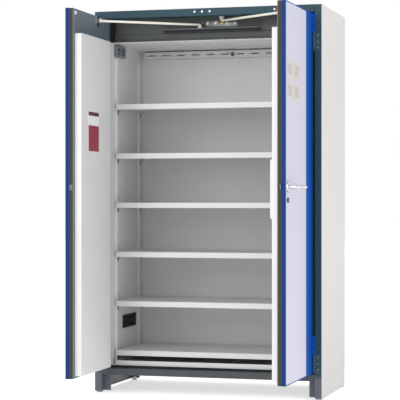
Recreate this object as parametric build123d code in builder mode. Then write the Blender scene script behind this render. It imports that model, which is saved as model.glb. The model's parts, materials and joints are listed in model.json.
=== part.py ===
from build123d import *
import os

# Fire-resistant storage cabinet for batteries: an insulated body with shelves, two wing doors
# standing open, and closing rods that run in a guide channel behind the header.
# Frame: millimetres, X to the right, Y into the cabinet, Z up. The origin lies on the floor,
# halfway across the cabinet, in the plane of its front frame.

os.makedirs("parts", exist_ok=True)

# ---- Body ----
width = 1193.0
depth = 615.0
height = 1968.0
side_wall = 71.5
rear_wall = 46.0
roof_wall = 160.0
floor_z = 140.0
sheet = 1.5
frame_sheet = 2.0
bend = 2.5
panel_return = 15.0
skirt_gap = 8.0
roof_board = 40.0

# ---- Front frame ----
jamb_face = 35.5
header_height = 40.0
seal_height = 5.0
seal_width = 18.0
seal_gap = 1.0
base_z = 92.0
rail_height = 35.0

# ---- Door leaves ----
slab = 40.0
hinge_radius = 6.0
hinge_gap = 2.0
leaf_start = 2.0
meeting_gap = 3.0
door_bottom_gap = 4.0
door_top_gap = 8.0
open_angle = 89.0
skin_return = 17.0
edge_strip_width = 20.0
edge_strip_depth = 8.0
edge_step = 1.0
panel_start = 150.0
panel_margin = 6.0
box_depth = 32.0
box_start = 80.0
box_end_gap = 27.5
box_floor_gap = 3.0
box_ceiling_gap = 8.0
box_radius = 5.0

# ---- Hinges ----
hinge_height = 185.0
hinge_leaf = 31.0
hinge_plate = 2.5
hinge_pin_radius = 3.5
hinge_pin_length = 60.0
hinge_end_gap = 4.0
hinge_lift = 0.3
fit = 0.05

# ---- Feet ----
foot_plate_z = 20.0
foot_plate = 3.0
foot_radius = 16.0
foot_height = 6.0
foot_nut_radius = 9.0
foot_nut = 8.0
foot_stud_radius = 5.0
foot_stud = 24.0
foot_hole_gap = 0.3
leg_width = 40.0

# ---- Shelves ----
shelf_count = 5
base_shelf_z = 212.0
top_space = 316.0
shelf_lip = 27.0
shelf_front = 86.0
shelf_back_gap = 14.0
shelf_corner = 4.0
shelf_rib_height = 12.0
shelf_rib_width = 40.0
tray_front = 76.0
tray_height = 20.0
standard_depth = 10.0
standard_width = 30.0
standard_front_inset = 82.0
standard_rear_inset = 69.0
standard_top_gap = 72.0
shelf_side_gap = 2.0
slots_per_shelf = 8
slot_height = 12.0
slot_width = 8.0
clip_width = 24.0
clip_ledge = 14.0
clip_plate = 2.0
clip_height = 22.0
clip_tab = 4.0
clip_play = 0.5

# ---- Ventilation ----
grille_start = 231.0
grille_width = 209.0
grille_z = 315.0
grille_height = 69.0
grille_depth = 6.0
grille_border = 7.0
grille_columns = 12
grille_rows = 4
grille_bar = 3.0
valve_start = 95.0
valve_width = 136.0
valve_top_gap = 7.0
valve_height = 58.0
valve_depth = 18.0
valve_port_radius = 19.0
valve_port_depth = 6.0
valve_hub_radius = 7.0
duct_side_gap = 25.0
duct_depth = 40.0
duct_top_gap = 7.0
duct_height = 38.0
duct_slots = 12
duct_slot_width = 44.0
duct_slot_height = 6.0
duct_port_radius = 12.0
spigot_radius = 37.5
spigot_wall = 1.5
spigot_height = 45.0
spigot_flange = 12.0
spigot_x = 150.0
spigot_back_gap = 115.0

# ---- Head compartment and closing rods ----
channel_length = 520.0
channel_front = 55.0
channel_depth = 70.0
channel_lip = 6.0
head_step_low = 15.0
head_step_high = 46.0
head_step_depth = 10.0
head_front = 60.0
rod_left_drop = 74.0
rod_right_drop = 56.0
rod_radius = 6.0
rod_length = 527.0
rod_angle = 34.68
eye_radius = 10.0
eye_height = 8.0
rod_pin_radius = 4.0
pin_head = 2.5
ear = 4.0
ear_gap = 0.5
bracket_u = 200.0
bracket_v = 18.0
bracket_width = 44.0
bracket_base = 3.0
bracket_drop = 30.0
shoe_reach = 26.5
shoe_radius = 14.0
shoe_gap = 0.3
shoe_height = 14.0

# ---- Lock and handle, on the right leaf ----
handle_z = 1055.0
handle_inset = 33.5
handle_reach = 56.0
lever_length = 125.0
lever_radius = 9.0
lever_bend = 20.0
spindle_radius = 5.0
spindle_length = 34.0
spindle_gap = 1.0
rosette_radius = 26.0
rosette_height = 8.0
keyhole_drop = 62.0
keyhole_radius = 11.0
bolt_width = 12.0
bolt_height = 24.0
bolt_length = 27.5
bolt_throw = 8.0
bolt_inset = 14.0
bolt_gap = 0.5
strike_depth = 13.0
strike_gap = 3.0
cover_width = 70.0
cover_depth = 10.0
cover_low = 906.0
cover_high = 1183.0
cover_end_gap = 5.0

# ---- Worked out ----
half = width / 2
inner_half = half - side_wall
ceiling_z = height - roof_wall
inner_back = depth - rear_wall
panel_top = height - sheet
header_bottom = height - header_height
return_x = half - jamb_face
rebate_y = slab + seal_gap + seal_height
wall_front = rebate_y + frame_sheet
hinge_x = return_x - hinge_gap
leaf_end = hinge_x - meeting_gap / 2
rail_top = base_z + rail_height
door_bottom = rail_top + door_bottom_gap
door_top = header_bottom - door_top_gap
outer_v = hinge_radius
inner_v = outer_v + slab
box_v = inner_v + box_depth
panel_v = outer_v - sheet
board_x = inner_half + sheet
board_back = inner_back + sheet
panel_inside = half - sheet
rear_inside = depth - 2 * sheet
base_top = base_z + frame_sheet
standard_x = inner_half - standard_depth
shelf_half = standard_x - shelf_side_gap
shelf_back = inner_back - shelf_back_gap
standard_top = ceiling_z - standard_top_gap
valve_z = ceiling_z - valve_top_gap - valve_height
duct_z = ceiling_z - duct_top_gap - duct_height
duct_width = 2 * (inner_half - duct_side_gap)
spigot_y = depth - spigot_back_gap
handle_u = leaf_end - handle_inset
rod_left_z = height - rod_left_drop
rod_right_z = height - rod_right_drop
channel_back = channel_front + channel_depth
channel_low = rod_left_z - shoe_reach - sheet
channel_high = rod_right_z + shoe_reach + sheet
foot_x = (return_x + frame_sheet + panel_inside) / 2
standard_rows = [wall_front + standard_front_inset, inner_back - standard_rear_inset]
shelf_pitch = (ceiling_z - top_space - base_shelf_z) / shelf_count
slot_pitch = shelf_pitch / slots_per_shelf
shelf_tops = [base_shelf_z + shelf_pitch * i for i in range(shelf_count + 1)]

leaf_plane = Plane(
    origin=(-hinge_x, -hinge_radius, 0),
    x_dir=Vector(1, 0, 0).rotate(Axis.Z, -open_angle),
    z_dir=(0, 0, 1),
)


def save(name, shape):
    """Labels a finished piece and writes it to its own file."""
    shape.label = name
    export_step(shape, f"parts/{name}.step")


def block(plane, first, second, third, mode=Mode.ADD):
    """Extrudes a rectangle: spans along the plane's x, its y and its normal."""
    with BuildSketch(plane.offset(third[0])) as outline:
        with Locations(((first[0] + first[1]) / 2, (second[0] + second[1]) / 2)):
            Rectangle(first[1] - first[0], second[1] - second[0])
    extrude(outline.sketch, amount=third[1] - third[0], mode=mode)


def folded(plane, points, gauge, low, high):
    """Folds sheet of one gauge along the middle line of its profile."""
    with BuildSketch(plane.offset(low)) as profile:
        with BuildLine():
            FilletPolyline(*points, radius=bend)
        trace(line_width=gauge)
    extrude(profile.sketch, amount=high - low)


def mirrored(shape):
    """The same piece on the other side of the cabinet."""
    with BuildPart() as other:
        mirror(shape, about=Plane.YZ)
    return other.part


# ---- Outer panels ----
with BuildPart() as side_panel:
    folded(
        Plane.XY,
        [
            (-half + panel_return, frame_sheet + sheet / 2),
            (-half + sheet / 2, frame_sheet + sheet / 2),
            (-half + sheet / 2, rear_inside + sheet / 2),
            (-half + panel_return, rear_inside + sheet / 2),
        ],
        sheet,
        skirt_gap,
        panel_top,
    )
save("side_panel_left", side_panel.part)
save("side_panel_right", mirrored(side_panel.part))

with BuildPart() as rear_panel:
    block(Plane.XY, (-half, half), (depth - sheet, depth), (base_z, panel_top))
save("rear_panel", rear_panel.part)

with BuildPart() as roof_panel:
    block(Plane.XY, (-half, half), (0, depth), (panel_top, height))
    with Locations((-spigot_x, spigot_y, height), (spigot_x, spigot_y, height)):
        Hole(spigot_radius - spigot_wall)
save("roof_panel", roof_panel.part)

# ---- Front frame: each jamb turns in to a rebate and carries a foot plate ----
with BuildPart() as frame_jamb:
    folded(
        Plane.XY,
        [
            (-half, frame_sheet / 2),
            (-return_x - frame_sheet / 2, frame_sheet / 2),
            (-return_x - frame_sheet / 2, rebate_y + frame_sheet / 2),
            (-inner_half, rebate_y + frame_sheet / 2),
        ],
        frame_sheet,
        skirt_gap,
        panel_top,
    )
    block(
        Plane.XY,
        (-panel_inside, -return_x - frame_sheet),
        (frame_sheet + sheet + bend, rebate_y),
        (foot_plate_z, foot_plate_z + foot_plate),
    )
    with Locations((-foot_x, rebate_y / 2, foot_plate_z + foot_plate)):
        Hole(foot_stud_radius + foot_hole_gap, depth=foot_plate)
save("frame_jamb_left", frame_jamb.part)
save("frame_jamb_right", mirrored(frame_jamb.part))

with BuildPart() as frame_header:
    folded(
        Plane.YZ,
        [
            (rebate_y - bend, panel_top - frame_sheet / 2),
            (frame_sheet / 2, panel_top - frame_sheet / 2),
            (frame_sheet / 2, header_bottom + frame_sheet / 2),
            (rebate_y - bend, header_bottom + frame_sheet / 2),
        ],
        frame_sheet,
        -return_x,
        return_x,
    )
save("frame_header", frame_header.part)

with BuildPart() as plinth_rail:
    folded(
        Plane.YZ,
        [
            (rebate_y - bend, rail_top - frame_sheet / 2),
            (frame_sheet * 1.5, rail_top - frame_sheet / 2),
            (frame_sheet * 1.5, base_z + frame_sheet / 2),
            (rebate_y - bend, base_z + frame_sheet / 2),
        ],
        frame_sheet,
        -return_x,
        return_x,
    )
save("plinth_rail", plinth_rail.part)

with BuildPart() as base_plate:
    block(
        Plane.XY,
        (-panel_inside, panel_inside),
        (wall_front, rear_inside),
        (base_z, base_top),
    )
    fillet(base_plate.edges().filter_by(Axis.Z).group_by(Axis.Y)[-1], bend)
save("base_plate", base_plate.part)

# ---- Rear legs and levelling feet ----
leg_front = rear_inside - leg_width
foot_back_y = rear_inside - leg_width / 2
with BuildPart() as rear_legs:
    folded(
        Plane.XY,
        [
            (-panel_inside + frame_sheet / 2, leg_front),
            (-panel_inside + frame_sheet / 2, rear_inside - frame_sheet / 2),
            (-panel_inside + leg_width, rear_inside - frame_sheet / 2),
        ],
        frame_sheet,
        skirt_gap,
        base_z,
    )
    block(
        Plane.XY,
        (-panel_inside + frame_sheet / 2, -panel_inside + leg_width),
        (leg_front, rear_inside - frame_sheet / 2),
        (foot_plate_z, foot_plate_z + foot_plate),
    )
    with Locations((-foot_x, foot_back_y, foot_plate_z + foot_plate)):
        Hole(foot_stud_radius + foot_hole_gap, depth=foot_plate)
    mirror(about=Plane.YZ)
save("rear_legs", rear_legs.part)

foot_places = [
    (side * foot_x, y) for side in (-1, 1) for y in (rebate_y / 2, foot_back_y)
]
with BuildPart() as levelling_feet:
    with BuildSketch():
        with Locations(*foot_places):
            Circle(foot_radius)
    extrude(amount=foot_height)
    with BuildSketch(Plane.XY.offset(foot_height)):
        with Locations(*foot_places):
            Circle(foot_stud_radius)
    extrude(amount=foot_plate_z - foot_height + foot_stud)
    with BuildSketch(Plane.XY.offset(foot_plate_z - foot_nut)):
        with Locations(*foot_places):
            RegularPolygon(foot_nut_radius, 6)
    extrude(amount=foot_nut)
save("levelling_feet", levelling_feet.part)

# ---- Insulation boards, each between the outer sheet and the liner ----
with BuildPart() as fire_board_side:
    block(
        Plane.XY,
        (-panel_inside, -board_x),
        (wall_front, board_back),
        (base_top, panel_top),
    )
save("fire_board_left", fire_board_side.part)
save("fire_board_right", mirrored(fire_board_side.part))

with BuildPart() as fire_board_rear:
    block(
        Plane.XY,
        (-panel_inside, panel_inside),
        (board_back, rear_inside),
        (base_top, panel_top),
    )
    fillet(fire_board_rear.edges().filter_by(Axis.Z).group_by(Axis.Y)[-1], bend)
save("fire_board_rear", fire_board_rear.part)

with BuildPart() as fire_board_top:
    block(
        Plane.XY,
        (-board_x, board_x),
        (channel_back + sheet, board_back),
        (ceiling_z + sheet, ceiling_z + sheet + roof_board),
    )
save("fire_board_top", fire_board_top.part)

with BuildPart() as fire_board_base:
    block(
        Plane.XY,
        (-board_x, board_x),
        (wall_front, board_back),
        (base_top, floor_z - sheet),
    )
save("fire_board_base", fire_board_base.part)

# ---- Liner sheets ----
with BuildPart() as liner_side:
    block(Plane.XY, (-board_x, -inner_half), (wall_front, board_back), (floor_z, ceiling_z))
save("liner_left", liner_side.part)
save("liner_right", mirrored(liner_side.part))

with BuildPart() as liner_rear:
    block(Plane.XY, (-inner_half, inner_half), (inner_back, board_back), (floor_z, ceiling_z))
save("liner_rear", liner_rear.part)

with BuildPart() as liner_ceiling:
    block(
        Plane.XY,
        (-board_x, board_x),
        (wall_front, board_back),
        (ceiling_z, ceiling_z + sheet),
    )
save("liner_ceiling", liner_ceiling.part)

with BuildPart() as liner_floor:
    block(
        Plane.XY,
        (-board_x, board_x),
        (wall_front, board_back),
        (floor_z - sheet, floor_z),
    )
save("liner_floor", liner_floor.part)

# ---- Spill tray and shelves ----
with BuildPart() as spill_tray:
    block(
        Plane.XY,
        (-shelf_half, shelf_half),
        (tray_front, shelf_back),
        (floor_z, floor_z + tray_height),
    )
    fillet(spill_tray.edges().filter_by(Axis.Z), shelf_corner)
    offset(amount=-sheet, openings=spill_tray.faces().sort_by(Axis.Z)[-1])
save("spill_tray", spill_tray.part)


def shelf(top):
    """A shelf folded down on four sides, with two stiffening ribs under it."""
    with BuildPart() as pan:
        block(
            Plane.XY,
            (-shelf_half, shelf_half),
            (shelf_front, shelf_back),
            (top - shelf_lip, top),
        )
        fillet(pan.edges().filter_by(Axis.Z), shelf_corner)
        offset(amount=-sheet, openings=pan.faces().sort_by(Axis.Z)[0])
        for share in (1, 2):
            rib_y = shelf_front + (shelf_back - shelf_front) * share / 3
            block(
                Plane.XY,
                (-shelf_half + sheet, shelf_half - sheet),
                (rib_y - shelf_rib_width / 2, rib_y + shelf_rib_width / 2),
                (top - sheet - shelf_rib_height, top - sheet),
            )
            block(
                Plane.XY,
                (-shelf_half + sheet, shelf_half - sheet),
                (
                    rib_y - shelf_rib_width / 2 + sheet,
                    rib_y + shelf_rib_width / 2 - sheet,
                ),
                (top - shelf_rib_height, top - sheet),
                mode=Mode.SUBTRACT,
            )
    return pan.part


shelf_names = ["base_shelf"] + [f"shelf_{i + 1}" for i in range(shelf_count)]
for shelf_name, shelf_top in zip(shelf_names, shelf_tops):
    save(shelf_name, shelf(shelf_top))

# ---- Slotted standards and the clips that hook into them ----
slot_first = base_shelf_z - shelf_lip - clip_height / 2
slot_total = int((standard_top - slot_first - slot_pitch / 2) // slot_pitch) + 1
slot_middle = slot_first + slot_pitch * (slot_total - 1) / 2

with BuildPart() as shelf_standards:
    for row in standard_rows:
        folded(
            Plane.XY,
            [
                (-inner_half, row - (standard_width - sheet) / 2),
                (-standard_x - sheet / 2, row - (standard_width - sheet) / 2),
                (-standard_x - sheet / 2, row + (standard_width - sheet) / 2),
                (-inner_half, row + (standard_width - sheet) / 2),
            ],
            sheet,
            floor_z,
            standard_top,
        )
        with BuildSketch(Plane.YZ.offset(-standard_x - 2 * sheet)):
            with Locations((row, slot_middle)):
                with GridLocations(slot_width, slot_pitch, 1, slot_total):
                    Rectangle(slot_width, slot_height)
        extrude(amount=2 * sheet, mode=Mode.SUBTRACT)
    mirror(about=Plane.YZ)
save("shelf_standards", shelf_standards.part)

with BuildPart() as shelf_clips:
    for top in shelf_tops:
        under = top - shelf_lip
        for row in standard_rows:
            with BuildSketch(Plane.XZ.offset(-row - clip_width / 2)):
                with BuildLine():
                    Polyline(
                        (-standard_x, under - clip_height),
                        (-standard_x, under),
                        (-standard_x + clip_ledge, under),
                        (-standard_x + clip_ledge, under - clip_plate),
                        (-standard_x + clip_plate, under - clip_plate),
                        (-standard_x + clip_plate, under - clip_height),
                        close=True,
                    )
                make_face()
            extrude(amount=clip_width)
            block(
                Plane.XY,
                (-standard_x - clip_tab, -standard_x),
                (row - slot_width / 2 + clip_play, row + slot_width / 2 - clip_play),
                (
                    under - (clip_height + slot_height) / 2 + clip_play,
                    under - (clip_height - slot_height) / 2 - clip_play,
                ),
            )
    mirror(about=Plane.YZ)
save("shelf_clips", shelf_clips.part)

# ---- Ventilation: low grille, high valve, rear duct and roof spigots ----
grille_cell_y = (grille_width - 2 * grille_border + grille_bar) / grille_columns
grille_cell_z = (grille_height - 2 * grille_border + grille_bar) / grille_rows
with BuildPart() as vent_grille:
    with BuildSketch(Plane.YZ.offset(-inner_half)):
        with Locations((grille_start + grille_width / 2, grille_z + grille_height / 2)):
            Rectangle(grille_width, grille_height)
            with GridLocations(grille_cell_y, grille_cell_z, grille_columns, grille_rows):
                Rectangle(
                    grille_cell_y - grille_bar,
                    grille_cell_z - grille_bar,
                    mode=Mode.SUBTRACT,
                )
    extrude(amount=grille_depth)
save("vent_grille", vent_grille.part)

valve_ports = [
    (valve_start + valve_width * share, valve_z + valve_height / 2)
    for share in (0.27, 0.73)
]
with BuildPart() as vent_valve:
    block(
        Plane.YZ,
        (valve_start, valve_start + valve_width),
        (valve_z, valve_z + valve_height),
        (-inner_half, -inner_half + valve_depth),
    )
    fillet(vent_valve.edges().filter_by(Axis.X), shelf_corner)
    with BuildSketch(Plane.YZ.offset(-inner_half + valve_depth)):
        with Locations(*valve_ports):
            Circle(valve_port_radius)
            Circle(valve_hub_radius, mode=Mode.SUBTRACT)
    extrude(amount=-valve_port_depth, mode=Mode.SUBTRACT)
save("vent_valve", vent_valve.part)

with BuildPart() as exhaust_duct:
    block(
        Plane.XY,
        (-duct_width / 2, duct_width / 2),
        (inner_back - duct_depth, inner_back),
        (duct_z, duct_z + duct_height),
    )
    offset(amount=-sheet, openings=exhaust_duct.faces().sort_by(Axis.Y)[-1])
    with BuildSketch(Plane.XZ.offset(duct_depth - inner_back)):
        with Locations((0, duct_z + duct_height / 2)):
            with GridLocations(duct_width / duct_slots, 0, duct_slots, 1):
                SlotOverall(duct_slot_width, duct_slot_height)
            Circle(duct_port_radius)
    extrude(amount=-2 * sheet, mode=Mode.SUBTRACT)
save("exhaust_duct", exhaust_duct.part)

with BuildPart() as roof_spigots:
    with BuildSketch(Plane.XY.offset(height)):
        with Locations((-spigot_x, spigot_y), (spigot_x, spigot_y)):
            Circle(spigot_radius + spigot_flange)
            Circle(spigot_radius - spigot_wall, mode=Mode.SUBTRACT)
    extrude(amount=sheet)
    with BuildSketch(Plane.XY.offset(height)):
        with Locations((-spigot_x, spigot_y), (spigot_x, spigot_y)):
            Circle(spigot_radius)
            Circle(spigot_radius - spigot_wall, mode=Mode.SUBTRACT)
    extrude(amount=spigot_height)
save("roof_spigots", roof_spigots.part)

# ---- Head compartment: stepped back plate and the channel that guides both rod shoes ----
plate_z = ceiling_z + sheet * 1.5
plate_y = channel_back + sheet / 2
with BuildPart() as head_back_plate:
    folded(
        Plane.YZ,
        [
            (head_front, plate_z),
            (plate_y - 2 * head_step_depth, plate_z),
            (plate_y - 2 * head_step_depth, plate_z + head_step_low),
            (plate_y - head_step_depth, plate_z + head_step_low),
            (plate_y - head_step_depth, plate_z + head_step_high),
            (plate_y, plate_z + head_step_high),
            (plate_y, panel_top - sheet / 2),
            (plate_y + panel_return, panel_top - sheet / 2),
        ],
        sheet,
        -board_x,
        board_x,
    )
save("head_back_plate", head_back_plate.part)

with BuildPart() as guide_channel:
    folded(
        Plane.YZ,
        [
            (channel_front + sheet / 2, channel_low + channel_lip),
            (channel_front + sheet / 2, channel_low + sheet / 2),
            (channel_back - sheet / 2, channel_low + sheet / 2),
            (channel_back - sheet / 2, channel_high - sheet / 2),
            (channel_front + sheet / 2, channel_high - sheet / 2),
            (channel_front + sheet / 2, channel_high - channel_lip),
        ],
        sheet,
        -channel_length / 2,
        channel_length / 2,
    )
save("guide_channel", guide_channel.part)

# ---- Seals on the rebates ----
with BuildPart() as frame_seals:
    seal_x = (return_x + inner_half) / 2
    block(
        Plane.XY,
        (-seal_x - seal_width / 2, -seal_x + seal_width / 2),
        (rebate_y - seal_height, rebate_y),
        (door_bottom, door_top),
    )
    fillet(
        frame_seals.edges().filter_by(Axis.Z).group_by(Axis.Y)[0],
        seal_height * 0.6,
    )
    mirror(about=Plane.YZ)
save("frame_seals", frame_seals.part)

# ---- Lift-off hinges: the frame half carries the pin, the door half hangs on it ----
half_height = (hinge_height - hinge_lift) / 2
hinge_bottoms = [door_bottom + hinge_end_gap, door_top - hinge_height]
with BuildPart() as hinge_frame_halves:
    for low in hinge_bottoms:
        with BuildSketch(Plane.XY.offset(low)):
            with Locations((-hinge_x, -hinge_radius)):
                Circle(hinge_radius)
            with Locations((-hinge_x - hinge_leaf / 2, -hinge_plate / 2)):
                Rectangle(hinge_leaf, hinge_plate)
        extrude(amount=half_height)
        with BuildSketch(Plane.XY.offset(low + half_height)):
            with Locations((-hinge_x, -hinge_radius)):
                Circle(hinge_pin_radius)
        extrude(amount=hinge_pin_length)
    mirror(about=Plane.YZ)
save("hinge_frame_halves", hinge_frame_halves.part)

with BuildPart() as hinge_halves:
    for low in hinge_bottoms:
        start = low + half_height + hinge_lift
        with BuildSketch(leaf_plane.offset(start)):
            Circle(hinge_radius)
            with Locations((hinge_leaf / 2, outer_v - hinge_plate / 2)):
                Rectangle(hinge_leaf, hinge_plate)
        extrude(amount=half_height)
        with BuildSketch(leaf_plane.offset(start)):
            Circle(hinge_pin_radius + fit)
        extrude(amount=hinge_pin_length, mode=Mode.SUBTRACT)
save("left_hinge_halves", hinge_halves.part)
save("right_hinge_halves", mirrored(hinge_halves.part))

# ---- Door leaf pieces, in the leaf's own plane: along it, through it, and up ----
bolt_low = inner_v - bolt_inset - bolt_width / 2
bolt_span = (bolt_low, bolt_low + bolt_width)
bolt_z = (handle_z - bolt_height / 2, handle_z + bolt_height / 2)
bolt_start = leaf_end + bolt_throw - bolt_length


def wider(span, play):
    """A span with the same clearance added at both ends."""
    return (span[0] - play, span[1] + play)


def bolt_way(side):
    """Cuts the bolt's guide in the right leaf, or the pocket it enters in the left leaf."""
    if side == "right":
        along, play = (bolt_start - bolt_throw - bolt_gap, leaf_end), bolt_gap
    else:
        along, play = (leaf_end - strike_depth, leaf_end), strike_gap
    block(leaf_plane, along, wider(bolt_span, play), wider(bolt_z, play), Mode.SUBTRACT)


lock_plane = Plane(
    origin=leaf_plane.from_local_coords((handle_u, 0, handle_z)),
    x_dir=leaf_plane.x_dir,
    z_dir=-leaf_plane.y_dir,
)


def spindle_way():
    """Cuts the round hole that the handle's spindle turns in."""
    with BuildSketch(lock_plane.offset(-outer_v - spindle_length)) as hole:
        Circle(spindle_radius + spindle_gap)
    extrude(hole.sketch, amount=spindle_length + box_depth, mode=Mode.SUBTRACT)


def door_skin(side):
    """The outer skin, a pan whose edges turn in round the leaf."""
    along = (leaf_start, leaf_end)
    up = (door_bottom, door_top)
    with BuildPart() as skin:
        block(leaf_plane, along, (outer_v, outer_v + skin_return), up)
        block(
            leaf_plane,
            wider(along, -sheet),
            (outer_v + sheet, outer_v + skin_return),
            wider(up, -sheet),
            Mode.SUBTRACT,
        )
        if side == "right":
            spindle_way()
    return skin.part


def door_inner_skin(side):
    """The inner skin, set back from the outer one so that the leaves can pass each other."""
    along = (leaf_start + sheet, leaf_end - sheet)
    up = (door_bottom + sheet, door_top - sheet)
    start = outer_v + skin_return + edge_strip_width
    with BuildPart() as skin:
        block(leaf_plane, along, (start, inner_v), up)
        block(
            leaf_plane,
            wider(along, -sheet),
            (start, inner_v - sheet),
            wider(up, -sheet),
            Mode.SUBTRACT,
        )
    return skin.part


def door_edge_strip(side):
    """The swelling fire seal that runs round the leaf between its two skins."""
    along = (leaf_start + edge_step, leaf_end - edge_step)
    up = (door_bottom + edge_step, door_top - edge_step)
    through = (outer_v + skin_return, outer_v + skin_return + edge_strip_width)
    with BuildPart() as strip:
        block(leaf_plane, along, through, up)
        block(
            leaf_plane,
            wider(along, -edge_strip_depth),
            through,
            wider(up, -edge_strip_depth),
            Mode.SUBTRACT,
        )
        bolt_way(side)
    return strip.part


def door_core(side):
    """The insulation board inside the leaf."""
    margin = edge_step + edge_strip_depth
    with BuildPart() as core:
        block(
            leaf_plane,
            (leaf_start + margin, leaf_end - margin),
            (outer_v + sheet, inner_v - sheet),
            (door_bottom + margin, door_top - margin),
        )
        bolt_way(side)
        if side == "right":
            spindle_way()
    return core.part


def door_front_panel(side):
    """The pale plate on the outside of the leaf."""
    with BuildPart() as panel:
        block(
            leaf_plane,
            (panel_start, leaf_end - panel_margin),
            (panel_v, outer_v),
            (door_bottom + panel_margin, door_top - panel_margin),
        )
        fillet(panel.edges().filter_by(Axis(leaf_plane.origin, leaf_plane.y_dir)), bend)
        if side == "right":
            spindle_way()
    return panel.part


def door_inner_box(side):
    """The raised pan on the inside of the leaf, which closes into the body's mouth."""
    with BuildPart() as pan:
        block(
            leaf_plane,
            (box_start, leaf_end - box_end_gap),
            (inner_v, box_v),
            (floor_z + box_floor_gap, ceiling_z - box_ceiling_gap),
        )
        deep = pan.edges().filter_by(Axis(leaf_plane.origin, leaf_plane.y_dir))
        fillet(deep, box_radius)
        back = pan.faces().sort_by(Axis(leaf_plane.origin, leaf_plane.y_dir))[0]
        offset(amount=-sheet, openings=back)
    return pan.part


def rod_bracket(rod_z):
    """A clevis on the leaf's inner skin, with the pin that the rod's eye turns on."""
    pivot_v = inner_v + bracket_v
    with BuildPart() as bracket:
        block(
            leaf_plane,
            (bracket_u - bracket_width / 2, bracket_u + bracket_width / 2),
            (inner_v, inner_v + bracket_base),
            (rod_z - bracket_drop, door_top - sheet),
        )
        for low in (rod_z - eye_height / 2 - ear_gap - ear, rod_z + eye_height / 2 + ear_gap):
            with BuildSketch(leaf_plane.offset(low)):
                with Locations((bracket_u, pivot_v)):
                    Circle(eye_radius)
                with Locations((bracket_u, inner_v + (bracket_base + bracket_v) / 2)):
                    Rectangle(2 * eye_radius, bracket_v - bracket_base)
                with Locations((bracket_u, pivot_v)):
                    Circle(rod_pin_radius + fit, mode=Mode.SUBTRACT)
            extrude(amount=ear)
        reach = eye_height / 2 + ear_gap + ear
        with BuildSketch(leaf_plane.offset(rod_z - reach)):
            with Locations((bracket_u, pivot_v)):
                Circle(rod_pin_radius)
        extrude(amount=2 * reach)
        with BuildSketch(leaf_plane.offset(rod_z + reach)):
            with Locations((bracket_u, pivot_v)):
                Circle(rod_pin_radius * 1.6)
        extrude(amount=pin_head)
    return bracket.part


def closing_rod(rod_z, shoe_up):
    """A rod from its eye on the leaf to the shoe that slides along the guide channel."""
    eye = leaf_plane.from_local_coords((bracket_u, inner_v + bracket_v, rod_z))
    along = Vector(1, 0, 0).rotate(Axis.Z, rod_angle)
    flat = Plane(origin=eye, x_dir=along, z_dir=(0, 0, 1))
    shoe_start = shoe_reach - shoe_gap if shoe_up else shoe_height - shoe_reach + shoe_gap
    with BuildPart() as rod:
        with BuildSketch(Plane(origin=eye + along * eye_radius, z_dir=along)):
            Circle(rod_radius)
        extrude(amount=rod_length - eye_radius)
        with BuildSketch(flat.offset(-eye_height / 2)):
            Circle(eye_radius)
            with Locations((eye_radius, 0)):
                Rectangle(2 * eye_radius, 2 * rod_radius)
        extrude(amount=eye_height)
        with BuildSketch(flat.offset(-eye_height / 2)):
            Circle(rod_pin_radius + fit)
        extrude(amount=eye_height, mode=Mode.SUBTRACT)
        with BuildSketch(flat):
            with Locations((rod_length, 0)):
                Circle(rod_radius * 1.4)
        extrude(amount=shoe_reach - shoe_height / 2 if shoe_up else shoe_height / 2 - shoe_reach)
        with BuildSketch(flat.offset(shoe_start)):
            with Locations((rod_length, 0)):
                Circle(shoe_radius)
        extrude(amount=-shoe_height)
    return rod.part


for side, rod_z in (("left", rod_left_z), ("right", rod_right_z)):
    pieces = {
        "door_skin": door_skin(side),
        "door_core": door_core(side),
        "edge_strip": door_edge_strip(side),
        "inner_skin": door_inner_skin(side),
        "front_panel": door_front_panel(side),
        "inner_box": door_inner_box(side),
        "rod_bracket": rod_bracket(rod_z),
        "closing_rod": closing_rod(rod_z, side == "right"),
    }
    for piece_name, piece in pieces.items():
        save(f"{side}_{piece_name}", piece if side == "left" else mirrored(piece))

# ---- Lock and handle of the right leaf ----
cover_end = leaf_end - box_end_gap - cover_end_gap
with BuildPart() as lock_cover:
    block(
        leaf_plane,
        (cover_end - cover_width, cover_end),
        (box_v, box_v + cover_depth),
        (cover_low, cover_high),
    )
    fillet(lock_cover.edges().filter_by(Axis(leaf_plane.origin, leaf_plane.y_dir)), box_radius)
    cover_back = lock_cover.faces().sort_by(Axis(leaf_plane.origin, leaf_plane.y_dir))[0]
    offset(amount=-sheet, openings=cover_back)
save("lock_cover", mirrored(lock_cover.part))

with BuildPart() as handle_rosette:
    with BuildSketch(lock_plane.offset(-panel_v)):
        Circle(rosette_radius)
        with Locations((0, -keyhole_drop)):
            Circle(keyhole_radius)
        Circle(lever_radius + spindle_gap, mode=Mode.SUBTRACT)
    extrude(amount=rosette_height)
save("handle_rosette", mirrored(handle_rosette.part))

lever_plane = Plane(origin=lock_plane.origin, x_dir=lock_plane.x_dir, z_dir=(0, 0, 1))
with BuildPart() as handle_lever:
    with BuildLine(lever_plane) as lever_line:
        FilletPolyline(
            (0, panel_v - spindle_gap),
            (0, panel_v - handle_reach),
            (-lever_length, panel_v - handle_reach),
            radius=lever_bend,
        )
    with BuildSketch(lock_plane.offset(spindle_gap - panel_v)):
        Circle(lever_radius)
    sweep(path=lever_line.wire())
    tip = handle_lever.faces().sort_by_distance(lever_line.wire() @ 1)[0]
    fillet(tip.edges(), lever_radius * 0.6)
    with BuildSketch(lock_plane.offset(spindle_gap - panel_v)):
        Circle(spindle_radius)
    extrude(amount=-spindle_length)
save("handle_lever", mirrored(handle_lever.part))

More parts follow.
